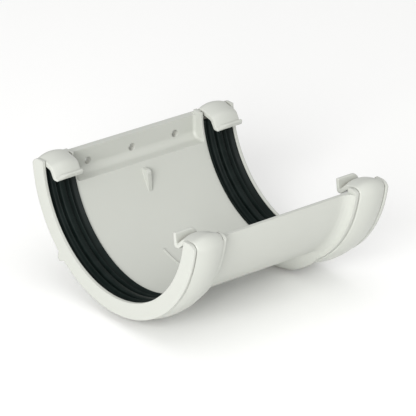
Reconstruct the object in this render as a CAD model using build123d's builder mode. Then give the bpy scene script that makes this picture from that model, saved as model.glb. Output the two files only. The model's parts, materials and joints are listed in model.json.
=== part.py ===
from build123d import *
from math import asin, cos, degrees, radians, sin, sqrt, tan
import os

os.makedirs("parts", exist_ok=True)

# Half-round gutter union with two sealed sockets, sizes in millimetres.
# X runs along the gutter, -Y faces the room side, +Y faces the fascia board, Z is up.
# The origin is the middle screw hole, on the flat back of the plate that meets the fascia.

# Gutter the union takes and the bore it runs through
gutter_radius = 56.0
lip_clearance = 0.4
trough_clearance = 1.8
trough_wall = 1.8

# Sockets
end_half = 61.7
end_flange = 1.7
socket_width = 16.8
seat_depth = 2.4
seat_overlap = 0.8
socket_wall = 2.0
flange_height = 2.8
shoulder_height = 1.8
shoulder_width = 2.1
flare_length = 6.5
rim_bevel = 0.5

# Heights of the upper edges below the axis of the trough
front_flange_top = 5.6
back_flange_top = 3.6
flange_corner = 5.0
front_rim_top = 8.0

# Fascia plate with its recess
fascia_gap = 2.0
plate_thickness = 4.0
plate_top = 7.0
web_slope_width = 6.5
web_peak = 4.5
web_inner_top = 5.0
shelf_top = 19.6
shelf_thickness = 2.0
recess_round = 4.0
recess_corner = 1.6
hole_pitch = 28.2
hole_diameter = 4.0
hole_drop = 14.4

# Deeper belly of the shoulder under the trough
belly_drop = 22.0
belly_depth = 4.2
belly_taper = 17.2

# Lug low on the fascia side of each end flange
lug_angle = 129.5
lug_width = 7.0
lug_height = 3.3

# Marks inside the trough for the gutter ends, and the stop between them
mark_offset = 11.8
mark_width = 0.9
mark_height = 0.6
mark_half_angle = 22.0
stop_width = 2.4
stop_top = 22.4
stop_reach = 5.0
stop_drop = 11.2
stop_round = 2.0

# Clearance of the seals and straps to the walls they lie on, and of the wall tops under the bends
fit_clearance = 0.1
wall_clearance = 0.1

# Seal strips
seal_side_gap = 0.2
seal_base = 1.5
pad_half = 2.6
pad_rise = 2.1
fin_offset = 4.7
fin_rise = 2.7
groove_offset = 3.4
seal_end_drop = 9.4

# Retaining straps
strap_side_gap = 0.3
strap_edge = 2.4
strap_crown = 1.7
strap_bevel = 0.6
bend_radius = 1.2
front_bend_drop = 8.7
back_bend_drop = 7.3
hook_slope = 12.0
front_knee_inset = 2.0
front_fall = 41.0
back_knee_inset = 3.0
back_fall = 38.0
knee_round = 3.0
front_lip_inset = 9.5
front_lip_top = 5.9
back_lip_inset = 11.4
back_lip_top = 9.2
front_lip_foot = 12.7
back_lip_foot = 11.7
front_lip_thickness = 2.0
back_lip_thickness = 1.6
lip_side_cut = 2.8
lip_corner = 3.6
tab_corner = 3.0
nose_round = 1.4
lip_round = 0.7

# Sizes that follow from the ones above
lip_radius = gutter_radius + lip_clearance
trough_radius = gutter_radius + trough_clearance
trough_outer = trough_radius + trough_wall
seat_radius = trough_radius + seat_depth
channel_radius = seat_radius + socket_wall
flange_radius = channel_radius + flange_height
shoulder_radius = channel_radius + shoulder_height
channel_end = end_half - end_flange
channel_start = channel_end - socket_width
seat_start = channel_start - seat_overlap
shoulder_face = channel_start - shoulder_width
flare_start = shoulder_face - flare_length
belly_radius = flange_radius + belly_depth - belly_drop
fascia_reach = flange_radius + fascia_gap
plate_face = fascia_reach - plate_thickness
web_peak_reach = fascia_reach - web_slope_width
axis_y = -fascia_reach
axis_z = hole_drop
strap_start = channel_start + strap_side_gap
strap_end = channel_end - strap_side_gap
strap_half = (strap_end - strap_start) / 2
strap_middle = (strap_end + strap_start) / 2
seal_start = seat_start + seal_side_gap
seal_end = channel_end - seal_side_gap
seal_half = (seal_end - seal_start) / 2
seal_middle = (seal_end + seal_start) / 2
seal_radius = seat_radius - fit_clearance
seal_face = seal_radius - seal_base
strap_radius = channel_radius + fit_clearance
bend_reach = strap_radius - bend_radius
front_knee = gutter_radius - front_knee_inset
back_knee = gutter_radius - back_knee_inset
front_lip_face = gutter_radius - front_lip_inset
back_lip_face = gutter_radius - back_lip_inset
front_turn = degrees(asin(front_bend_drop / bend_reach))
back_turn = degrees(asin(back_bend_drop / bend_reach))
seal_turn = degrees(asin(seal_end_drop / seat_radius))

trough_centre = (axis_y, axis_z)

# Hollow flare from the shoulder down to the trough, in flats round a quarter ellipse
flare = [
    (
        flare_start + flare_length * cos(radians(turn)),
        shoulder_radius - (shoulder_radius - trough_outer) * sin(radians(turn)),
    )
    for turn in (0, 18, 36, 54, 72, 90)
]

# Crown of the straps, in flats round an arc from edge to edge
crown_radius = (strap_half**2 + strap_crown**2) / (2 * strap_crown)
crown_turn = asin(strap_half / crown_radius)
crown = [
    (crown_radius * sin(turn), strap_edge + strap_crown - crown_radius * (1 - cos(turn)))
    for turn in [crown_turn * step / 3 for step in range(-3, 4)]
]

# Section of the seals from one edge to the other, as (across, height over the base)
seal_ribs = [
    (-seal_half, 0),
    (-fin_offset, fin_rise),
    (-groove_offset, 0),
    (-pad_half, pad_rise),
    (pad_half, pad_rise),
    (groove_offset, 0),
    (fin_offset, fin_rise),
    (seal_half, 0),
]

# Line of the flat inside of the straps across the gutter, as (y, z) from the axis of the trough
slope_sin = sin(radians(hook_slope))
slope_cos = cos(radians(hook_slope))
front_bend = (-bend_reach * cos(radians(front_turn)), -front_bend_drop)
back_bend = (bend_reach * cos(radians(back_turn)), -back_bend_drop)
front_over = (front_bend[0] + bend_radius * slope_sin, front_bend[1] + bend_radius * slope_cos)
back_over = (back_bend[0] - bend_radius * slope_sin, back_bend[1] + bend_radius * slope_cos)
front_knee_z = front_over[1] - (-front_over[0] - front_knee) * slope_sin / slope_cos
back_knee_z = back_over[1] - (back_over[0] - back_knee) * slope_sin / slope_cos
front_end = (-front_lip_face + 2, front_knee_z - (front_knee - front_lip_face + 2) * tan(radians(front_fall)))
back_end = (back_lip_face - 2, back_knee_z - (back_knee - back_lip_face + 2) * tan(radians(back_fall)))

stop_root = sqrt(trough_radius**2 - stop_top**2)
stop_foot = sqrt(trough_radius**2 - (stop_top + stop_drop) ** 2)
lug_reach = flange_radius + lug_height / 2 - rim_bevel

# Planes and the axis of the trough
trough_axis = Axis((0, axis_y, axis_z), (1, 0, 0))
profile_plane = Plane(origin=(0, axis_y, axis_z), x_dir=(1, 0, 0), z_dir=(0, 0, -1))
section_plane = Plane(origin=(0, axis_y, axis_z), x_dir=(0, 1, 0), z_dir=(1, 0, 0))
belly_axis = Axis((0, axis_y, axis_z - belly_drop), (1, 0, 0))
belly_plane = Plane(origin=(0, axis_y, axis_z - belly_drop), x_dir=(1, 0, 0), z_dir=(0, 0, -1))


def radial_plane(middle, centre, radius, turn):
    """Plane with x along the gutter and y outward from a centre (y, z), turned down from the front."""
    angle = radians(turn)
    return Plane(
        origin=(middle, centre[0] - radius * cos(angle), centre[1] - radius * sin(angle)),
        x_dir=(1, 0, 0),
        z_dir=(0, sin(angle), -cos(angle)),
    )


def corner_waste(corner, inward, radius):
    """What a rounding takes off a square corner (y, z): a square round it less the rounding circle."""
    with BuildSketch(mode=Mode.PRIVATE) as waste:
        with Locations(corner):
            Rectangle(2 * radius, 2 * radius)
        with Locations((corner[0] + inward[0] * radius, corner[1] + inward[1] * radius)):
            Circle(radius, mode=Mode.SUBTRACT)
    return waste.sketch


# Recess in front of the fascia plate, rounded where plate, shelf and webs meet
with BuildPart() as recess:
    with BuildSketch(section_plane) as recess_profile:
        with BuildLine():
            Polyline(
                (0, 1),
                (plate_face, 1),
                (plate_face, -shelf_top),
                (0, -shelf_top),
                close=True,
            )
        make_face()
        fillet(recess_profile.vertices().sort_by(Axis.X)[-2:].sort_by(Axis.Y)[0], recess_round)
    extrude(amount=shoulder_face, both=True)
    end_edges = recess.faces().filter_by(Axis.X).edges()
    fillet(end_edges.sort_by(Axis.Z)[:-2].sort_by(Axis.Y)[2:], recess_corner)


# The moulded body: trough, two sockets, fascia plate, marks, stop and lugs in one piece
with BuildPart() as union_body:
    # Outside of the half round, solid to the axis for now
    with BuildSketch(profile_plane) as outside:
        with BuildLine():
            Line((0, 0), (end_half, 0))
            Line((end_half, 0), (end_half, flange_radius))
            Line((end_half, flange_radius), (channel_end, flange_radius))
            Line((channel_end, flange_radius), (channel_end, channel_radius))
            Line((channel_end, channel_radius), (channel_start, channel_radius))
            Line((channel_start, channel_radius), (channel_start, shoulder_radius))
            Line((channel_start, shoulder_radius), (shoulder_face, shoulder_radius))
            Polyline(flare)
            Line((flare_start, trough_outer), (0, trough_outer))
            Line((0, trough_outer), (0, 0))
        make_face()
        rims = outside.vertices().filter_by_position(Axis.Y, channel_radius + 0.01, flange_radius + 0.01)
        chamfer(rims.sort_by(Axis.X)[::3], rim_bevel)
        mirror(about=Plane.YZ)
    revolve(axis=trough_axis, revolution_arc=180)

    # Deeper belly of both shoulders, round a lower axis
    with BuildSketch(belly_plane):
        with BuildLine():
            Polyline(
                (channel_start - belly_taper, trough_outer - belly_drop - 1),
                (shoulder_face, belly_radius),
                (channel_start, belly_radius),
                (channel_start, trough_outer - belly_drop - 1),
                close=True,
            )
        make_face()
        mirror(about=Plane.YZ)
    revolve(axis=belly_axis, revolution_arc=180)

    # Block between the trough and the fascia, later hollowed to the plate and its shelf
    with BuildSketch(section_plane):
        with BuildLine():
            Polyline(
                (trough_radius - 2.2, -web_inner_top),
                (web_peak_reach, -web_peak),
                (fascia_reach, -plate_top),
                (fascia_reach, -shelf_top - shelf_thickness),
                (trough_radius - 2.2, -shelf_top - shelf_thickness),
                close=True,
            )
        make_face()
    extrude(amount=channel_start, both=True)

    # Bore: trough, two seal seats and the two end lips
    with BuildSketch(profile_plane):
        with BuildLine():
            Polyline(
                (0, 0),
                (end_half + 1, 0),
                (end_half + 1, lip_radius),
                (channel_end, lip_radius),
                (channel_end, seat_radius),
                (seat_start, seat_radius),
                (seat_start, trough_radius),
                (0, trough_radius),
                close=True,
            )
        make_face()
        mirror(about=Plane.YZ)
    revolve(axis=trough_axis, revolution_arc=360, mode=Mode.SUBTRACT)

    # Upper edges of the flanges, with rounded outer corners; the webs keep their own sloping edge
    for side, drop, start, length in (
        (-1, front_flange_top, -end_half, 2 * end_half),
        (1, back_flange_top, -end_half, end_flange),
        (1, back_flange_top, channel_end, end_flange),
        (1, web_peak, -channel_end, 2 * channel_end),
    ):
        with BuildSketch(section_plane.offset(start)):
            with Locations((side * fascia_reach / 2, -drop)):
                Rectangle(fascia_reach + 1, drop + 1, align=(Align.CENTER, Align.MIN))
        extrude(amount=length, mode=Mode.SUBTRACT)
        if drop != web_peak:
            with BuildSketch(section_plane.offset(start)):
                add(corner_waste((side * flange_radius, -drop), (-side, -1), flange_corner))
            extrude(amount=length, mode=Mode.SUBTRACT)

    # Recess over the shelf, in front of the plate
    add(recess.part, mode=Mode.SUBTRACT)

    # Upper edge of the plate, and of the front rim
    with BuildSketch(section_plane):
        with Locations((0, -plate_top)):
            Rectangle(fascia_reach + 1, plate_top + 1, align=Align.MIN)
        with Locations((0, -front_rim_top)):
            Rectangle(flange_radius + 1, front_rim_top + 1, align=(Align.MAX, Align.MIN))
    extrude(amount=shoulder_face, both=True, mode=Mode.SUBTRACT)

    # Upper edges of the socket walls, under the bends of the straps
    for start in (channel_start, -channel_end):
        with BuildSketch(section_plane.offset(start)):
            with Locations((0, -back_bend_drop - wall_clearance)):
                Rectangle(fascia_reach + 1, back_bend_drop + 1, align=Align.MIN)
            with Locations((0, -front_bend_drop - wall_clearance)):
                Rectangle(flange_radius + 1, front_bend_drop + 1, align=(Align.MAX, Align.MIN))
        extrude(amount=channel_end - channel_start, mode=Mode.SUBTRACT)

    # Screw holes through the plate
    with BuildSketch(Plane.XZ):
        with GridLocations(hole_pitch, 0, 3, 1):
            Circle(hole_diameter / 2)
    extrude(amount=plate_thickness + recess_round, mode=Mode.SUBTRACT)

    # Marks inside the trough, as far as the gutter ends may come
    with BuildSketch(radial_plane(0, trough_centre, trough_radius, 90 - mark_half_angle)):
        with Locations((mark_offset, 0), (-mark_offset, 0)):
            Rectangle(mark_width, 2 * mark_height)
    revolve(axis=trough_axis, revolution_arc=2 * mark_half_angle)

    # Central stop on the fascia side of the trough
    with BuildSketch(section_plane) as stop:
        with BuildLine():
            Polyline(
                (stop_root + trough_wall / 2, -stop_top),
                (stop_root - stop_reach, -stop_top),
                (stop_foot, -stop_top - stop_drop),
                (stop_foot + trough_wall / 2, -stop_top - stop_drop),
                close=True,
            )
        make_face()
        fillet(stop.vertices().group_by(Axis.Y)[-1].sort_by(Axis.X)[0], stop_round)
    extrude(amount=stop_width / 2, both=True)

    # Lug on each end flange
    for start in (channel_end, -end_half):
        with BuildSketch(section_plane.offset(start)):
            with Locations((lug_reach * -cos(radians(lug_angle)), lug_reach * -sin(radians(lug_angle)))):
                Trapezoid(lug_width, lug_height + 2 * rim_bevel, 60, rotation=lug_angle + 90)
        extrude(amount=end_flange)

union_body.part.label = "union_body"
export_step(union_body.part, "parts/union_body.step")


# Ribbed seal strips, lying in the seats and ending under the hooks of the straps
for side, middle in (("left", -seal_middle), ("right", seal_middle)):
    with BuildPart() as seal:
        with BuildSketch(radial_plane(middle, trough_centre, 0, seal_turn)):
            with BuildLine():
                Polyline(
                    (seal_half, seal_radius),
                    (-seal_half, seal_radius),
                    *[(across, seal_face - rise) for across, rise in seal_ribs],
                    close=True,
                )
            make_face()
        revolve(axis=trough_axis, revolution_arc=180 - 2 * seal_turn)
    seal.part.label = f"seal_{side}"
    export_step(seal.part, f"parts/seal_{side}.step")


# Retaining straps: a crowned band round the socket, bent over both edges into two hooks
for side, middle in (("left", -strap_middle), ("right", strap_middle)):
    with BuildPart() as strap:
        # Section of the band, x along the gutter and y outward from the socket wall
        with BuildSketch(mode=Mode.PRIVATE) as band:
            with BuildLine():
                Polyline((strap_half, 0), (-strap_half, 0), *crown, close=True)
            make_face()
            chamfer(band.vertices().group_by(Axis.Y)[1], strap_bevel)

        # The band follows one line: up the front slope, over both edges and down the back slope
        with BuildLine(section_plane.offset(middle)) as course:
            FilletPolyline(front_end, (-front_knee, front_knee_z), front_over, radius=knee_round)
            CenterArc(front_bend, bend_radius, 90 - hook_slope, 90 + hook_slope + front_turn)
            CenterArc((0, 0), strap_radius, 180 + front_turn, 180 - front_turn - back_turn)
            CenterArc(back_bend, bend_radius, -back_turn, 90 + hook_slope + back_turn)
            FilletPolyline(back_over, (back_knee, back_knee_z), back_end, radius=knee_round)
        start = (front_end[0] + axis_y, front_end[1] + axis_z)
        with BuildSketch(radial_plane(middle, start, 0, -90 - front_fall)):
            add(band.sketch)
        sweep(path=course.line)

        # Both slopes end in line with the inner faces of their lips, and flat underneath
        with BuildSketch(section_plane.offset(middle)):
            with Locations((-front_lip_face, 1)):
                Rectangle(front_lip_face + back_lip_face, front_lip_face / 2, align=(Align.MIN, Align.MAX))
            with Locations((0, -front_lip_foot)):
                Rectangle(front_knee, front_lip_foot, align=Align.MAX)
            with Locations((0, -back_lip_foot)):
                Rectangle(back_knee, back_lip_foot, align=(Align.MIN, Align.MAX))
        extrude(amount=strap_half + 1, both=True, mode=Mode.SUBTRACT)

        # Front lip, standing up as a thumb tab a little narrower than the band
        with BuildSketch(Plane.XZ.offset(front_lip_face - axis_y)) as front_lip:
            with Locations((middle - strap_half, axis_z - front_lip_foot)):
                Rectangle(2 * strap_half - lip_side_cut, front_lip_foot - front_lip_top, align=Align.MIN)
            fillet(front_lip.vertices().group_by(Axis.Y)[-1].sort_by(Axis.X)[-1], lip_corner)
        extrude(amount=front_lip_thickness)

        # Back lip, a low ridge along the end of the slope
        with BuildSketch(Plane.XZ.offset(-back_lip_face - axis_y)):
            with Locations((middle, axis_z - back_lip_foot)):
                Rectangle(2 * strap_half, back_lip_foot - back_lip_top, align=(Align.CENTER, Align.MIN))
        extrude(amount=-back_lip_thickness)

        # Rounded corner of the back tab
        with BuildSketch(Plane.XY.offset(axis_z)):
            with Locations((middle + strap_half, axis_y + back_lip_face)):
                Rectangle(tab_corner, tab_corner, align=(Align.MAX, Align.MIN))
            with Locations((middle + strap_half - tab_corner, axis_y + back_lip_face + tab_corner)):
                Circle(tab_corner, mode=Mode.SUBTRACT)
        extrude(amount=-front_lip_face / 2, mode=Mode.SUBTRACT)

        # Noses of both hooks, and the upper edges of the lips
        with BuildSketch(section_plane.offset(middle)):
            add(corner_waste((-front_lip_face, -front_lip_foot), (-1, 1), nose_round))
            add(corner_waste((back_lip_face, -back_lip_foot), (1, 1), nose_round))
            add(corner_waste((-front_lip_face, -front_lip_top), (-1, -1), lip_round))
            add(corner_waste((back_lip_face, -back_lip_top), (1, -1), lip_round))
        extrude(amount=strap_half + 1, both=True, mode=Mode.SUBTRACT)
    strap.part.label = f"strap_{side}"
    export_step(strap.part, f"parts/strap_{side}.step")
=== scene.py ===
import json
from math import acos, cos, pi, radians, sin

import bpy
import numpy as np
from mathutils import Matrix, Vector


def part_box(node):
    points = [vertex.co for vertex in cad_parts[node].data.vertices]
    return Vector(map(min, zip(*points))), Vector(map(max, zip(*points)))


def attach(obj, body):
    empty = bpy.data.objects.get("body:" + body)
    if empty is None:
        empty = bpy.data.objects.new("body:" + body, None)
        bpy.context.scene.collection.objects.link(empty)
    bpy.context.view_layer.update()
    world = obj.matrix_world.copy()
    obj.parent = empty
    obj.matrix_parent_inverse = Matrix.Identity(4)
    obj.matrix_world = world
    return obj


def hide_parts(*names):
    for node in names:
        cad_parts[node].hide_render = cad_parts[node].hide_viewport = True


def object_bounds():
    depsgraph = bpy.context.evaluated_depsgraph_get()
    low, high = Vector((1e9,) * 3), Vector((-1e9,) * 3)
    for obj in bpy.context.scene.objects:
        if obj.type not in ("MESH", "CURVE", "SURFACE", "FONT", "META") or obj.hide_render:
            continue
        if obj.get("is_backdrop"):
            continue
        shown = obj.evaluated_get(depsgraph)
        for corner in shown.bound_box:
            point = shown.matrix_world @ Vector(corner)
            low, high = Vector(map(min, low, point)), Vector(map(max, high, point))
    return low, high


bl_info = {
    "name": "Gutter union",
    "version": (1, 0, 0),
    "blender": (4, 5, 0),
    "location": "View3D > Sidebar > Gutter union",
    "description": "Finishes and stages a moulded half-round gutter union",
    "category": "Object",
}

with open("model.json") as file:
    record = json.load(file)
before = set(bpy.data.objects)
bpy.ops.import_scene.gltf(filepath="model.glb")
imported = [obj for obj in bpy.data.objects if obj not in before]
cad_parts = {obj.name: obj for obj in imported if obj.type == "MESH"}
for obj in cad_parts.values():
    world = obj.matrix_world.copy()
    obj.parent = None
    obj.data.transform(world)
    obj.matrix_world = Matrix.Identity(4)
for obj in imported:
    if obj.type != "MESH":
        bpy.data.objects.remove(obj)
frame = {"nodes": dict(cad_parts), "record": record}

# Sizes below are in metres, as in the frame. X runs along the gutter, +Y towards the fascia board, Z up.
MM = 0.001
MOUNTS = {mount["name"]: mount for mount in frame["record"]["mounts"]}
TROUGH_AXIS = Vector(MOUNTS["gutter_left"]["pos_m"])
TROUGH_AXIS.x = 0
BODY = "root"
SEALS = ("seal_left", "seal_right")
STRAPS = ("strap_left", "strap_right")

# Points along each curve of the surfaces
SEAL_ACROSS_POINTS = 141
SEAL_ARC_POINTS = 181
STRAP_EDGE_POINTS = 7
STRAP_FLAT_POINTS = 30
LIP_CORNER_POINTS = 10
PAST_LIP_POINTS = 8
SOCKET_POINTS = 121
BEND_POINTS = 25
KNEE_POINTS = 9
NOSE_POINTS = 9
VALLEY_POINTS = 9
HEEL_POINTS = 5
CORNER_POINTS = 7

# Steepest turn between two faces that is still shaded as one smooth surface
SHARP_TURN = radians(50)


def linear(code):
    """Linear colour of an sRGB hex code such as E8EAE4, channel by channel."""
    channels = np.array([int(code[i:i + 2], 16) for i in (0, 2, 4)]) / 255
    return tuple(np.where(channels <= 0.04045, channels / 12.92, ((channels + 0.055) / 1.055) ** 2.4))


# Settings

class SealSettings(bpy.types.PropertyGroup):
    """Cross-section of the ribbed rubber strips."""
    base: bpy.props.FloatProperty(
        name="Base", description="Thickness of the strip between its ribs",
        default=1.5 * MM, min=0, unit="LENGTH")
    pad_half_width: bpy.props.FloatProperty(
        name="Pad half width", description="From the middle of the strip to the flank of the middle pad",
        default=1.9 * MM, min=0, unit="LENGTH")
    pad_rise: bpy.props.FloatProperty(
        name="Pad rise", description="Height of the middle pad over the base",
        default=2.1 * MM, min=0, unit="LENGTH")
    pad_crown: bpy.props.FloatProperty(
        name="Pad crown",
        description="Share of its height that the pad loses from its middle to its flanks",
        default=0.3, min=0, max=1, subtype="FACTOR")
    fin_offset: bpy.props.FloatProperty(
        name="Fin offset", description="From the middle of the strip to each sealing fin",
        default=4.0 * MM, min=0, unit="LENGTH")
    fin_rise: bpy.props.FloatProperty(
        name="Fin rise", description="Height of the sealing fins over the base",
        default=2.0 * MM, min=0, unit="LENGTH")
    edge_rise: bpy.props.FloatProperty(
        name="Edge rise", description="Height of the edge lips over the base",
        default=1.8 * MM, min=0, unit="LENGTH")
    fin_half_width: bpy.props.FloatProperty(
        name="Fin half width", description="Half the width of a fin at half its height",
        default=0.7 * MM, min=0.01 * MM, unit="LENGTH")


class StrapSettings(bpy.types.PropertyGroup):
    """Section of the retaining straps, and the line they follow over both edges of the socket."""
    edge: bpy.props.FloatProperty(
        name="Edge", description="Thickness of the band along its two edges",
        default=2.4 * MM, min=0, unit="LENGTH")
    crown: bpy.props.FloatProperty(
        name="Crown", description="Rise of the middle of the band over its edges",
        default=1.7 * MM, min=0, unit="LENGTH")
    hook_edge: bpy.props.FloatProperty(
        name="Hook edge", description="Thickness of the edges where a slope meets its lip",
        default=2.1 * MM, min=0, unit="LENGTH")
    hook_crown: bpy.props.FloatProperty(
        name="Hook crown", description="Rise of the middle where a slope meets its lip",
        default=0.8 * MM, min=0, unit="LENGTH")
    edge_round: bpy.props.FloatProperty(
        name="Edge rounding", description="Radius that eases every edge of the moulding",
        default=0.4 * MM, min=0.01 * MM, unit="LENGTH")
    bend_radius: bpy.props.FloatProperty(
        name="Bend radius", description="Inner radius of the bends over the socket wall",
        default=1.2 * MM, min=0, unit="LENGTH")
    slope: bpy.props.FloatProperty(
        name="Slope", description="Fall of the band just inside the bends",
        default=radians(12), subtype="ANGLE")
    knee_round: bpy.props.FloatProperty(
        name="Knee rounding", description="Inner radius where the slopes steepen",
        default=3.0 * MM, min=0, unit="LENGTH")
    front_bend_drop: bpy.props.FloatProperty(
        name="Front bend drop", description="Centre of the front bend below the axis of the trough",
        default=8.7 * MM, unit="LENGTH")
    front_knee_reach: bpy.props.FloatProperty(
        name="Front knee reach", description="From the axis out to the front knee",
        default=54.0 * MM, unit="LENGTH")
    front_fall: bpy.props.FloatProperty(
        name="Front fall", description="Fall of the front slope past its knee",
        default=radians(41), subtype="ANGLE")
    front_lip_reach: bpy.props.FloatProperty(
        name="Front lip reach", description="From the axis out to the foot of the front lip",
        default=46.5 * MM, unit="LENGTH")
    front_lip_foot: bpy.props.FloatProperty(
        name="Front lip foot", description="Underside of the front lip below the axis",
        default=12.7 * MM, unit="LENGTH")
    front_lip_top: bpy.props.FloatProperty(
        name="Front lip top", description="Upper edge of the front lip below the axis",
        default=5.3 * MM, unit="LENGTH")
    front_lip_lean: bpy.props.FloatProperty(
        name="Front lip lean", description="How far the front lip leans inward at its top",
        default=1.0 * MM, unit="LENGTH")
    front_lip_thickness: bpy.props.FloatProperty(
        name="Front lip thickness", description="Thickness of the front lip",
        default=1.9 * MM, unit="LENGTH")
    front_lip_cut: bpy.props.FloatProperty(
        name="Front lip cut",
        description="From the right edge of the band in to the side of the front lip",
        default=2.8 * MM, unit="LENGTH")
    front_lip_corner: bpy.props.FloatProperty(
        name="Front lip corner", description="Radius of the rounded upper corner of the front lip",
        default=3.6 * MM, unit="LENGTH")
    back_bend_drop: bpy.props.FloatProperty(
        name="Back bend drop", description="Centre of the back bend below the axis of the trough",
        default=7.3 * MM, unit="LENGTH")
    back_knee_reach: bpy.props.FloatProperty(
        name="Back knee reach", description="From the axis out to the back knee",
        default=53.0 * MM, unit="LENGTH")
    back_fall: bpy.props.FloatProperty(
        name="Back fall", description="Fall of the back slope past its knee",
        default=radians(41), subtype="ANGLE")
    back_lip_reach: bpy.props.FloatProperty(
        name="Back lip reach", description="From the axis out to the foot of the back lip",
        default=45.6 * MM, unit="LENGTH")
    back_lip_foot: bpy.props.FloatProperty(
        name="Back lip foot", description="Underside of the back lip below the axis",
        default=11.5 * MM, unit="LENGTH")
    back_lip_top: bpy.props.FloatProperty(
        name="Back lip top", description="Upper edge of the back lip below the axis",
        default=8.6 * MM, unit="LENGTH")
    back_lip_lean: bpy.props.FloatProperty(
        name="Back lip lean", description="How far the back lip leans inward at its top",
        default=0.5 * MM, unit="LENGTH")
    back_lip_thickness: bpy.props.FloatProperty(
        name="Back lip thickness", description="Thickness of the back lip",
        default=1.9 * MM, unit="LENGTH")
    back_lip_slant: bpy.props.FloatProperty(
        name="Back lip slant", description="Length over which the back lip rises at its left end",
        default=8.0 * MM, unit="LENGTH")
    back_lip_shift: bpy.props.FloatProperty(
        name="Back lip shift",
        description="How far the back lip stands to the right of the band, or to the left where below 0",
        default=-0.8 * MM, unit="LENGTH")
    nose_ease: bpy.props.FloatProperty(
        name="Nose easing", description="How far the rounding under each lip reaches from its corner",
        default=1.6 * MM, min=0, unit="LENGTH")
    lip_ease: bpy.props.FloatProperty(
        name="Lip easing",
        description="How far the roundings on and behind each lip reach from their corners",
        default=0.8 * MM, min=0, unit="LENGTH")


class FinishSettings(bpy.types.PropertyGroup):
    """Colours and gloss of the finishes."""
    moulding: bpy.props.FloatVectorProperty(
        name="PVC-U", description="White moulded PVC-U of the body and the straps",
        default=linear("BCBEB7"), subtype="COLOR", min=0, max=1)
    moulding_roughness: bpy.props.FloatProperty(
        name="PVC-U roughness", description="Soft gloss of the moulded PVC-U",
        default=0.36, min=0, max=1, subtype="FACTOR")
    # Painted shade: the darker colour that ambient occlusion lays into the screw holes and narrow gaps,
    # where shade falls
    painted_shade: bpy.props.FloatVectorProperty(
        name="Painted shade colour", description="Fine dust in the screw holes and the narrow gaps of the moulding",
        default=linear("7E786C"), subtype="COLOR", min=0, max=1)
    rubber: bpy.props.FloatVectorProperty(
        name="EPDM", description="Black EPDM rubber of the seals",
        default=linear("0A1412"), subtype="COLOR", min=0, max=1)
    rubber_bloom: bpy.props.FloatVectorProperty(
        name="EPDM bloom", description="Greyer patches where wax has come to the face of the rubber",
        default=linear("141D1B"), subtype="COLOR", min=0, max=1)
    rubber_roughness: bpy.props.FloatProperty(
        name="EPDM roughness", description="Satin face of the moulded rubber",
        default=0.5, min=0, max=1, subtype="FACTOR")
    floor: bpy.props.FloatVectorProperty(
        name="Floor", description="Matt pale floor",
        default=linear("FDFDFC"), subtype="COLOR", min=0, max=1)


class StageSettings(bpy.types.PropertyGroup):
    """Camera and lights."""
    azimuth: bpy.props.FloatProperty(
        name="Camera azimuth", description="Turn of the camera round the part, from straight in front",
        default=radians(-39.387), subtype="ANGLE")
    elevation: bpy.props.FloatProperty(
        name="Camera elevation", description="How far the camera looks down",
        default=radians(24.696), subtype="ANGLE")
    roll: bpy.props.FloatProperty(
        name="Camera roll", description="Turn of the camera about its own line of sight",
        default=radians(0.661), subtype="ANGLE")
    distance: bpy.props.FloatProperty(
        name="Camera distance",
        description="From the axis of the trough to the camera, along the line of sight",
        default=1.5764, unit="LENGTH")
    across: bpy.props.FloatProperty(
        name="Camera across", description="Sideways offset of the line of sight from the axis",
        default=-0.86 * MM, unit="LENGTH")
    down: bpy.props.FloatProperty(
        name="Camera down", description="How far the line of sight passes under the axis",
        default=23.63 * MM, unit="LENGTH")
    lens: bpy.props.FloatProperty(
        name="Lens", description="Focal length on a 36 mm sensor, in millimetres",
        default=274.53)
    key_power: bpy.props.FloatProperty(
        name="Key light", description="Power of the large soft light on the left",
        default=37.5, unit="POWER")
    top_power: bpy.props.FloatProperty(
        name="Top light", description="Power of the soft light overhead",
        default=5, unit="POWER")
    surround: bpy.props.FloatProperty(
        name="Surround", description="Brightness of the even light from all round",
        default=0.68, min=0)


class GutterUnionSettings(bpy.types.PropertyGroup):
    """All settings of the gutter union."""
    seal: bpy.props.PointerProperty(type=SealSettings)
    strap: bpy.props.PointerProperty(type=StrapSettings)
    finish: bpy.props.PointerProperty(type=FinishSettings)
    stage: bpy.props.PointerProperty(type=StageSettings)


# Node trees

def add_node(tree, kind, links=(), **settings):
    """Adds a node. Settings name its attributes, or its inputs with _ for each space.
    Links pair an input with the socket that feeds it."""
    node = tree.nodes.new(kind)
    for name, value in settings.items():
        if hasattr(node, name):
            setattr(node, name, value)
        else:
            node.inputs[name.replace("_", " ")].default_value = value
    for socket, source in dict(links).items():
        tree.links.new(source, node.inputs[socket])
    return node


def new_material(name):
    """Empty node material with an output, and the tree to fill."""
    material = bpy.data.materials.new(name)
    material.use_nodes = True
    material.node_tree.nodes.clear()
    return material, material.node_tree


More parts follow.
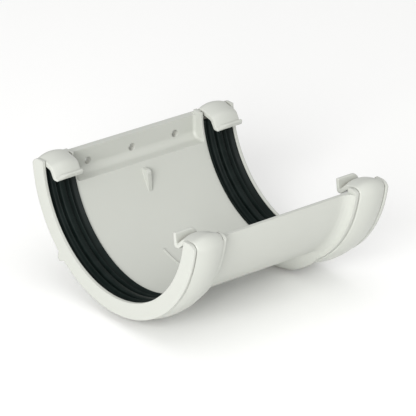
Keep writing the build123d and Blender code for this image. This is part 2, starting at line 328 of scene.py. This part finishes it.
def moulded_pvc(finish):
    """PVC-U, injection moulded: a dense white plastic with a soft gloss.
    Slow changes of tone and gloss follow the flow of the melt, the tool leaves a faint orange peel,
    and edges are eased. Painted shade greys the screw holes and the narrow gaps, where less than half of
    what lies round a point is open: ambient occlusion darkens the colour there."""
    material, tree = new_material("PVC-U moulded white")
    place = add_node(tree, "ShaderNodeTexCoord")
    flow_size = 26 * MM
    peel_size = 1.1 * MM
    peel_depth = 0.006 * MM
    edge_radius = 0.6 * MM
    gap_reach = 7 * MM
    tone_swing = 0.015
    gloss_swing = 0.03
    # Ambient occlusion under which the painted shade is full, and over which there is none
    shaded_below = 0.05
    unshaded_above = 0.42
    flow = add_node(
        tree, "ShaderNodeTexNoise", {"Vector": place.outputs["Object"]},
        Scale=1 / flow_size, Detail=2, Roughness=0.45)
    peel = add_node(
        tree, "ShaderNodeTexNoise", {"Vector": place.outputs["Object"]},
        Scale=1 / peel_size, Detail=1, Roughness=0.5)
    tone = add_node(tree, "ShaderNodeMix", {"Factor": flow.outputs["Fac"]}, data_type="RGBA")
    base = np.array(finish.moulding)
    tone.inputs["A"].default_value = (*base * (1 - tone_swing), 1)
    tone.inputs["B"].default_value = (*np.minimum(base * (1 + tone_swing), 1), 1)
    # Painted shade: where ambient occlusion finds the surroundings closed in, as in screw holes and
    # narrow gaps, the colour is mixed towards the darker painted shade
    openness = add_node(tree, "ShaderNodeAmbientOcclusion", Distance=gap_reach, samples=8)
    unshaded_share = add_node(
        tree, "ShaderNodeMapRange", {"Value": openness.outputs["AO"]},
        From_Min=shaded_below, From_Max=unshaded_above)
    shaded_tone = add_node(
        tree, "ShaderNodeMix", {"Factor": unshaded_share.outputs["Result"], "B": tone.outputs["Result"]},
        data_type="RGBA")
    shaded_tone.inputs["A"].default_value = (*finish.painted_shade, 1)
    gloss = add_node(
        tree, "ShaderNodeMapRange", {"Value": flow.outputs["Fac"]},
        From_Min=0.3, From_Max=0.7,
        To_Min=finish.moulding_roughness - gloss_swing, To_Max=finish.moulding_roughness + gloss_swing)
    eased = add_node(tree, "ShaderNodeBevel", Radius=edge_radius, samples=8)
    skin = add_node(
        tree, "ShaderNodeBump", {"Height": peel.outputs["Fac"], "Normal": eased.outputs["Normal"]},
        Strength=1.0, Distance=peel_depth)
    shader = add_node(
        tree, "ShaderNodeBsdfPrincipled",
        {"Base Color": shaded_tone.outputs["Result"], "Roughness": gloss.outputs["Result"],
         "Normal": skin.outputs["Normal"]},
        IOR=1.53)
    add_node(tree, "ShaderNodeOutputMaterial", {"Surface": shader.outputs["BSDF"]})
    return material


def moulded_epdm(finish):
    """EPDM rubber, moulded and trimmed: satin black, with a greyish bloom in patches and a fine grain."""
    material, tree = new_material("EPDM rubber moulded black")
    place = add_node(tree, "ShaderNodeTexCoord")
    bloom_size = 7 * MM
    grain_size = 0.7 * MM
    grain_depth = 0.03 * MM
    glossier = 0.05
    duller = 0.08
    bloom = add_node(
        tree, "ShaderNodeTexNoise", {"Vector": place.outputs["Object"]},
        Scale=1 / bloom_size, Detail=4, Roughness=0.6)
    grain = add_node(
        tree, "ShaderNodeTexNoise", {"Vector": place.outputs["Object"]},
        Scale=1 / grain_size, Detail=2, Roughness=0.6)
    patches = add_node(
        tree, "ShaderNodeMapRange", {"Value": bloom.outputs["Fac"]}, From_Min=0.4, From_Max=0.72)
    tone = add_node(tree, "ShaderNodeMix", {"Factor": patches.outputs["Result"]}, data_type="RGBA")
    tone.inputs["A"].default_value = (*finish.rubber, 1)
    tone.inputs["B"].default_value = (*finish.rubber_bloom, 1)
    gloss = add_node(
        tree, "ShaderNodeMapRange", {"Value": bloom.outputs["Fac"]},
        From_Min=0.3, From_Max=0.7,
        To_Min=finish.rubber_roughness - glossier, To_Max=finish.rubber_roughness + duller)
    skin = add_node(
        tree, "ShaderNodeBump", {"Height": grain.outputs["Fac"]}, Strength=0.6, Distance=grain_depth)
    shader = add_node(
        tree, "ShaderNodeBsdfPrincipled",
        {"Base Color": tone.outputs["Result"], "Roughness": gloss.outputs["Result"],
         "Normal": skin.outputs["Normal"]},
        Specular_IOR_Level=0.12)
    add_node(tree, "ShaderNodeOutputMaterial", {"Surface": shader.outputs["BSDF"]})
    return material


def painted_floor(finish):
    """Studio floor, painted matt: no pattern stands out, only a very slow change of tone."""
    material, tree = new_material("Matt floor paint")
    place = add_node(tree, "ShaderNodeTexCoord")
    sweep_size = 900 * MM
    tone_swing = 0.01
    sweep = add_node(
        tree, "ShaderNodeTexNoise", {"Vector": place.outputs["Object"]},
        Scale=1 / sweep_size, Detail=1, Roughness=0.4)
    tone = add_node(tree, "ShaderNodeMix", {"Factor": sweep.outputs["Fac"]}, data_type="RGBA")
    base = np.array(finish.floor)
    tone.inputs["A"].default_value = (*base * (1 - tone_swing), 1)
    tone.inputs["B"].default_value = (*base, 1)
    shader = add_node(
        tree, "ShaderNodeBsdfPrincipled", {"Base Color": tone.outputs["Result"]}, Roughness=0.9)
    add_node(tree, "ShaderNodeOutputMaterial", {"Surface": shader.outputs["BSDF"]})
    return material


# Surfaces

def carried_mesh(name, rings, caps=None):
    """Closed mesh of a profile carried along a path.
    rings has the shape (stations, profile points, 3). Each ring joins the next by a row of quads, and
    each profile closes on itself. The first and last rings are capped, each by one face, or by the faces
    whose points caps lists."""
    stations, around, _ = rings.shape
    here = np.arange(stations * around).reshape(stations, around)
    beside = np.roll(here, -1, axis=1)
    quads = np.stack((here[:-1], here[1:], beside[1:], beside[:-1]), axis=-1).reshape(-1, 4)
    caps = caps or [list(range(around))]
    faces = quads.tolist()
    faces += [here[0][cap].tolist() for cap in caps]
    faces += [here[-1][cap[::-1]].tolist() for cap in caps]
    mesh = bpy.data.meshes.new(name)
    mesh.from_pydata(rings.reshape(-1, 3).tolist(), [], faces)
    mesh.validate()
    mesh.shade_smooth()
    mesh.set_sharp_from_angle(angle=SHARP_TURN)
    return mesh


def new_piece(name, mesh, material):
    """Object at the origin that rides on the body."""
    piece = bpy.data.objects.new(name, mesh)
    mesh.materials.append(material)
    bpy.context.scene.collection.objects.link(piece)
    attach(piece, BODY)
    return piece


def seal_heights(across, half_width, sizes):
    """Height of the strip over its seat at each place across it.
    It is the base, plus a pad that is the difference of two smooth steps times a parabola, plus a bell
    curve at each fin, plus half of a wider bell curve at each edge."""
    flank = 0.22 * MM
    edge_breadth = 1.6
    crown = 1 - sizes.pad_crown * (across / sizes.pad_half_width) ** 2
    step_up = np.tanh((across + sizes.pad_half_width) / flank)
    step_down = np.tanh((across - sizes.pad_half_width) / flank)
    pad = (step_up - step_down) / 2
    spread = sizes.fin_half_width / np.sqrt(np.log(2))
    fins = np.exp(-((np.abs(across) - sizes.fin_offset) / spread) ** 2)
    edges = np.exp(-((half_width - np.abs(across)) / (edge_breadth * spread)) ** 2)
    return sizes.base + sizes.pad_rise * crown * pad + sizes.fin_rise * fins + sizes.edge_rise * edges


def seal_rings(node, sizes):
    """Rings of a seal strip: its section carried round the axis of the trough.
    A point of the section is a place across the strip and a radius. In the ring at angle a it lies at
    (x, axis - radius cos a, axis - radius sin a). The strip ends where the solid ends."""
    low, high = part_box(node)
    half_width = (high.x - low.x) / 2
    middle = (high.x + low.x) / 2
    seat_radius = TROUGH_AXIS.z - low.z
    end_angle = acos((high.y - low.y) / 2 / seat_radius)
    across = np.linspace(-half_width, half_width, SEAL_ACROSS_POINTS)
    top = seat_radius - seal_heights(across, half_width, sizes)
    section_x = middle + np.concatenate((across, across[::-1]))
    section_radius = np.concatenate((top, np.full_like(across, seat_radius)))
    angles = np.linspace(pi - end_angle, end_angle, SEAL_ARC_POINTS)[:, None]
    return np.stack((
        np.broadcast_to(section_x, (len(angles), len(section_x))),
        TROUGH_AXIS.y - section_radius * np.cos(angles),
        TROUGH_AXIS.z - section_radius * np.sin(angles),
    ), axis=-1)


def smooth_step(value):
    """0 below 0, 1 above 1, and 3t^2 - 2t^3 between."""
    value = np.clip(value, 0, 1)
    return value ** 2 * (3 - 2 * value)


def rows_of(x, y):
    """Points (x, y), one for each row of either."""
    return np.stack(np.broadcast_arrays(x, y), axis=-1)


def eased_corner(before, corner, after, reach, count=CORNER_POINTS):
    """Quadratic curve that cuts a corner off between its two legs.
    It starts and ends at the reach from the corner, or nearer where a leg is short, so that the curves
    at the two ends of a leg never meet."""
    longest_share = 0.45
    steps = np.linspace(0, 1, count)[:, None]
    ends = []
    for far in (before, after):
        leg = far - corner
        share = np.minimum(reach / np.linalg.norm(leg, axis=-1, keepdims=True), longest_share)
        ends.append((corner + leg * share)[:, None])
    return (1 - steps) ** 2 * ends[0] + 2 * steps * (1 - steps) * corner[:, None] + steps ** 2 * ends[1]


def arc(centre, radius, start, end, count):
    """Points centre + radius (cos a, sin a) for angles a from start to end, one row for each radius."""
    angles = np.linspace(start, end, count)
    spokes = np.stack((np.cos(angles), np.sin(angles)), axis=-1)
    return np.asarray(centre) + radius[:, None, None] * spokes


def hook_lines(sizes, hook, socket_radius, thickness, hook_thickness, lip_tops, inset):
    """Outline of one hook in four stretches, as (reach, height) from the axis of the trough.
    The lip runs from its nose up, over its top and down behind to the valley. Over runs from there up the
    slope, round the knee and over the bend. The foot runs from the nose to the heel. Under runs beneath
    over, point by point. A straight stretch has no points but its ends. Everything lies inside the full
    outline by the inset. The angle at which the bend meets the socket comes last."""
    def size(name):
        return getattr(sizes, f"{hook}_{name}")

    bend_reach = socket_radius - sizes.bend_radius
    turn = np.arcsin(size("bend_drop") / bend_reach)
    bend = np.array((bend_reach * np.cos(turn), -size("bend_drop")))
    gentle, steep = (np.array((-np.sin(fall), np.cos(fall))) for fall in (sizes.slope, size("fall")))
    bend_top = bend + sizes.bend_radius * gentle
    knee_reach = size("knee_reach")
    knee = np.array((knee_reach, bend_top[1] - (bend_top[0] - knee_reach) * np.tan(sizes.slope)))
    knee_centre = knee - sizes.knee_round * (gentle + steep) / (1 + gentle @ steep)
    down = np.array((-steep[1], steep[0]))

    # The valley lies where the slope, at hook_thickness along steep from the knee and run along down,
    # meets the leaning back of the lip
    foot = -size("lip_foot") + inset
    near_reach = size("lip_reach") + inset
    back_reach = size("lip_reach") + size("lip_thickness") - inset
    lean = size("lip_lean") / (size("lip_foot") - size("lip_top"))
    slope_line = knee + (hook_thickness - inset)[:, None] * steep
    run = (slope_line[:, 0] - back_reach + lean * (slope_line[:, 1] - foot)) / -(down[0] + lean * down[1])
    valley = slope_line + run[:, None] * down

    # Where a lip runs out, its face stays this little under the valley and its back this little over it
    face_under_valley = 0.6 * MM
    back_over_valley = 0.15 * MM
    near, back = (top - inset for top in lip_tops)
    near = np.maximum(near, valley[:, 1] - face_under_valley)
    back = np.maximum(back, valley[:, 1] + back_over_valley)
    nose = rows_of(near_reach, foot)
    near_top = rows_of(near_reach - lean * (near - foot), near)
    back_top = rows_of(back_reach - lean * (back - foot), back)
    underside = knee + inset[:, None] * steep
    heel = underside + ((foot - underside[:, 1]) / down[1])[:, None] * down
    slope_top = knee_centre + (sizes.knee_round + thickness - inset)[:, None] * steep

    lip = np.concatenate((
        eased_corner(heel, nose, near_top, sizes.nose_ease, NOSE_POINTS),
        eased_corner(nose, near_top, back_top, sizes.lip_ease),
        eased_corner(near_top, back_top, valley, sizes.lip_ease),
        eased_corner(back_top, valley, slope_top, sizes.lip_ease, VALLEY_POINTS),
    ), axis=1)
    steep_up = pi / 2 + size("fall")
    gentle_up = pi / 2 + sizes.slope
    over, under = (
        np.concatenate((
            arc(knee_centre, sizes.knee_round + height, steep_up, gentle_up, KNEE_POINTS),
            arc(bend, sizes.bend_radius + height, gentle_up, -turn, BEND_POINTS),
        ), axis=1)
        for height in (thickness - inset, inset)
    )
    foot_line = eased_corner(nose, heel, underside, sizes.lip_ease, HEEL_POINTS)
    return lip, over, foot_line, under, turn


def strap_rings(node, sizes):
    """Rings of a retaining strap and the faces that cap its sides.
    Each place across the strap has a ring, which is a closed outline. It runs up the front lip, over the
    front bend, round the socket at its radius plus the thickness, over the back bend to the back lip, and
    back along the inside. The thickness is the edge plus a parabola of the crown. Towards both sides the
    outline draws in by a quarter circle, which eases every edge."""
    low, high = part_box(node)
    half = (high.x - low.x) / 2
    middle = (high.x + low.x) / 2
    socket_radius = TROUGH_AXIS.z - low.z - sizes.edge - sizes.crown

    # Places across the band: close together in the rounded edges and at the side of the front lip
    past_side = 0.15 * MM
    turns = np.linspace(0, pi / 2, STRAP_EDGE_POINTS)
    corner_turns = np.linspace(0, pi / 2, LIP_CORNER_POINTS)
    border = sizes.edge_round * (1 - np.cos(turns))
    drawn_in = sizes.edge_round * (1 - np.sin(turns))
    lip_side = half - sizes.front_lip_cut
    corner_start = lip_side - sizes.front_lip_corner
    inner = np.concatenate((
        np.linspace(border[-1] - half, corner_start, STRAP_FLAT_POINTS)[1:-1],
        corner_start + sizes.front_lip_corner * np.sin(corner_turns),
        np.linspace(lip_side + past_side, half - border[-1], PAST_LIP_POINTS)[:-1],
    ))
    across = np.concatenate((border - half, inner, half - border[::-1]))
    inset = np.concatenate((drawn_in, np.zeros_like(inner), drawn_in[::-1]))

    # Thickness: full round the socket, less where the slopes meet the lips
    rise = 1 - (across / half) ** 2
    thickness = sizes.edge + sizes.crown * rise
    hook_thickness = sizes.hook_edge + sizes.hook_crown * rise

    # The front lip has a rounded upper corner and ends short of the right edge
    past_corner = np.clip(across - corner_start, 0, sizes.front_lip_corner)
    dip = sizes.front_lip_corner - np.sqrt(sizes.front_lip_corner ** 2 - past_corner ** 2)
    no_lip = across > lip_side + past_side / 2
    front_top = np.where(no_lip, -sizes.front_lip_foot, -sizes.front_lip_top - dip)

    # The back lip rises from the left edge. Its face starts at a share of its height, and its back rises
    # ahead of the face by a share of the slant
    face_start = 0.25
    back_lead = 0.45
    from_left = (across + half) / sizes.back_lip_slant
    back_height = sizes.back_lip_foot - sizes.back_lip_top
    face_rise = face_start + (1 - face_start) * smooth_step(from_left)
    back_face = back_height * face_rise - sizes.back_lip_foot
    back_back = back_height * smooth_step(back_lead + from_left) - sizes.back_lip_foot

    front_lip, front_over, front_foot, front_under, front_turn = hook_lines(
        sizes, "front", socket_radius, thickness, hook_thickness, (front_top, front_top), inset)
    back_lip, back_over, back_foot, back_under, back_turn = hook_lines(
        sizes, "back", socket_radius, thickness, hook_thickness, (back_face, back_back), inset)
    outside, inside = (
        arc((0, 0), socket_radius + height, pi + front_turn, 2 * pi - back_turn, SOCKET_POINTS)[:, 1:-1]
        for height in (thickness - inset, inset)
    )
    front = np.array((-1, 1))
    outline = np.concatenate((
        front_lip * front, front_over * front, outside, back_over[:, ::-1], back_lip[:, ::-1],
        back_foot, back_under, inside[:, ::-1], front_under[:, ::-1] * front, front_foot[:, ::-1] * front,
    ), axis=1)

    # The back lip stands a little to the left of the band, so its slope leans
    order = np.arange(outline.shape[1])
    lip = front_lip.shape[1]
    foot = front_foot.shape[1]
    band = 2 * front_over.shape[1] + outside.shape[1]
    in_back_lip = (order >= lip + band) & (order < 2 * lip + band + foot)
    shift = sizes.back_lip_shift * in_back_lip

    # A side is capped by a row of quads along the band and one face on each hook
    above = order[lip:lip + band]
    below = order[2 * lip + band + foot:2 * lip + 2 * band + foot][::-1]
    caps = np.stack((above[:-1], above[1:], below[1:], below[:-1]), axis=-1).tolist()
    caps.append(np.roll(order, foot + 1)[:foot + lip + 2].tolist())
    caps.append(order[lip + band - 1:2 * lip + band + foot + 1].tolist())

    rings = np.stack((
        middle + across[:, None] + shift,
        TROUGH_AXIS.y + outline[..., 0],
        TROUGH_AXIS.z + outline[..., 1],
    ), axis=-1)
    return rings[::-1], caps


# Operators

class GUTTERUNION_OT_body(bpy.types.Operator):
    """Gives the moulded body its PVC-U"""
    bl_idname = "gutter_union.body"
    bl_label = "Finish the body"

    def execute(self, context):
        material = moulded_pvc(context.scene.gutter_union.finish)
        for slot in frame["nodes"]["union_body"].material_slots:
            slot.material = material
        return {"FINISHED"}


class GUTTERUNION_OT_straps(bpy.types.Operator):
    """Builds the two crowned retaining straps with their hooks"""
    bl_idname = "gutter_union.straps"
    bl_label = "Build the straps"

    def execute(self, context):
        settings = context.scene.gutter_union
        material = moulded_pvc(settings.finish)
        for name in STRAPS:
            mesh = carried_mesh(f"{name}_band", *strap_rings(name, settings.strap))
            piece = new_piece(f"{name}_band", mesh, material)
            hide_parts(name)
        return {"FINISHED"}


class GUTTERUNION_OT_seals(bpy.types.Operator):
    """Builds the two ribbed rubber seals in their seats"""
    bl_idname = "gutter_union.seals"
    bl_label = "Build the seals"

    def execute(self, context):
        settings = context.scene.gutter_union
        material = moulded_epdm(settings.finish)
        for name in SEALS:
            mesh = carried_mesh(f"{name}_strip", seal_rings(name, settings.seal))
            piece = new_piece(f"{name}_strip", mesh, material)
            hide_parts(name)
        return {"FINISHED"}


class GUTTERUNION_OT_stage(bpy.types.Operator):
    """Lays the floor and sets up the lights and the camera"""
    bl_idname = "gutter_union.stage"
    bl_label = "Set the stage"

    def execute(self, context):
        settings = context.scene.gutter_union
        low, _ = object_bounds()
        self.lay_floor(context, settings.finish, low.z)
        self.light(context, settings.stage)
        self.place_camera(context, settings.stage)
        return {"FINISHED"}

    def lay_floor(self, context, finish, height):
        """Square floor under the lowest point of the part."""
        half = 8.0
        corners = [(x * half, y * half, height) for x, y in ((-1, -1), (1, -1), (1, 1), (-1, 1))]
        mesh = bpy.data.meshes.new("floor")
        mesh.from_pydata(corners, [], [(0, 1, 2, 3)])
        mesh.materials.append(painted_floor(finish))
        floor = bpy.data.objects.new("floor", mesh)
        context.scene.collection.objects.link(floor)
        floor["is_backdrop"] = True

    def light(self, context, stage):
        """Even white surround, a strong soft light from the left and a weak, wider one overhead."""
        key_place = Vector((-1.62, -1.05, 0.72))
        key_size = 1.1
        top_place = Vector((0.0, -0.3, 1.8))
        top_size = 1.4
        world = bpy.data.worlds.new("Studio surround")
        context.scene.world = world
        world.use_nodes = True
        world.node_tree.nodes.clear()
        surround = add_node(world.node_tree, "ShaderNodeBackground", Strength=stage.surround)
        surround.inputs["Color"].default_value = (*linear("FFFFFF"), 1)
        add_node(world.node_tree, "ShaderNodeOutputWorld", {"Surface": surround.outputs["Background"]})
        context.scene.view_settings.view_transform = "Standard"
        self.add_softbox(context, "key_light", key_place, key_size, stage.key_power)
        self.add_softbox(context, "top_light", top_place, top_size, stage.top_power)

    def add_softbox(self, context, name, reach, size, power):
        """Square softbox at a reach from the axis of the trough, facing it."""
        light = bpy.data.lights.new(name, "AREA")
        light.size = size
        light.energy = power
        softbox = bpy.data.objects.new(name, light)
        turn = reach.to_track_quat("Z", "Y")
        softbox.matrix_world = Matrix.LocRotScale(TROUGH_AXIS + reach, turn, None)
        context.scene.collection.objects.link(softbox)

    def place_camera(self, context, stage):
        """Camera from its azimuth a, elevation e, roll and distance.
        Its back axis is (sin a cos e, -cos a cos e, sin e). Its right axis lies level before the roll."""
        sensor_width = 36
        farthest_seen = 40
        back = Vector((
            sin(stage.azimuth) * cos(stage.elevation),
            -cos(stage.azimuth) * cos(stage.elevation),
            sin(stage.elevation),
        ))
        level = Vector((cos(stage.azimuth), sin(stage.azimuth), 0))
        upright = back.cross(level)
        right = level * cos(stage.roll) + upright * sin(stage.roll)
        up = upright * cos(stage.roll) - level * sin(stage.roll)
        camera = bpy.data.objects.new("camera", bpy.data.cameras.new("camera"))
        camera.data.lens = stage.lens
        camera.data.sensor_width = sensor_width
        camera.data.clip_end = farthest_seen
        turn = Matrix((right, up, back)).transposed()
        place = TROUGH_AXIS + back * stage.distance + right * stage.across - up * stage.down
        camera.matrix_world = Matrix.LocRotScale(place, turn.to_quaternion(), None)
        context.scene.collection.objects.link(camera)
        context.scene.camera = camera


class GUTTERUNION_PT_panel(bpy.types.Panel):
    """Lists the steps and the settings"""
    bl_idname = "GUTTERUNION_PT_panel"
    bl_label = "Gutter union"
    bl_space_type = "VIEW_3D"
    bl_region_type = "UI"
    bl_category = "Gutter union"

    def draw(self, context):
        settings = context.scene.gutter_union
        for operator in OPERATORS:
            self.layout.operator(operator.bl_idname)
        for group in (settings.seal, settings.strap, settings.finish, settings.stage):
            box = self.layout.box()
            for name in group.bl_rna.properties.keys():
                if name not in ("rna_type", "name"):
                    box.prop(group, name)


OPERATORS = (GUTTERUNION_OT_body, GUTTERUNION_OT_straps, GUTTERUNION_OT_seals, GUTTERUNION_OT_stage)
CLASSES = (
    SealSettings, StrapSettings, FinishSettings, StageSettings, GutterUnionSettings, *OPERATORS,
    GUTTERUNION_PT_panel,
)


def register():
    for cls in CLASSES:
        bpy.utils.register_class(cls)
    bpy.types.Scene.gutter_union = bpy.props.PointerProperty(type=GutterUnionSettings)


def unregister():
    del bpy.types.Scene.gutter_union
    for cls in reversed(CLASSES):
        bpy.utils.unregister_class(cls)


def main():
    """Runs the steps in order."""
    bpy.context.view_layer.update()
    register()
    bpy.ops.gutter_union.body()
    bpy.ops.gutter_union.straps()
    bpy.ops.gutter_union.seals()
    bpy.ops.gutter_union.stage()


if __name__ == "__main__":
    main()
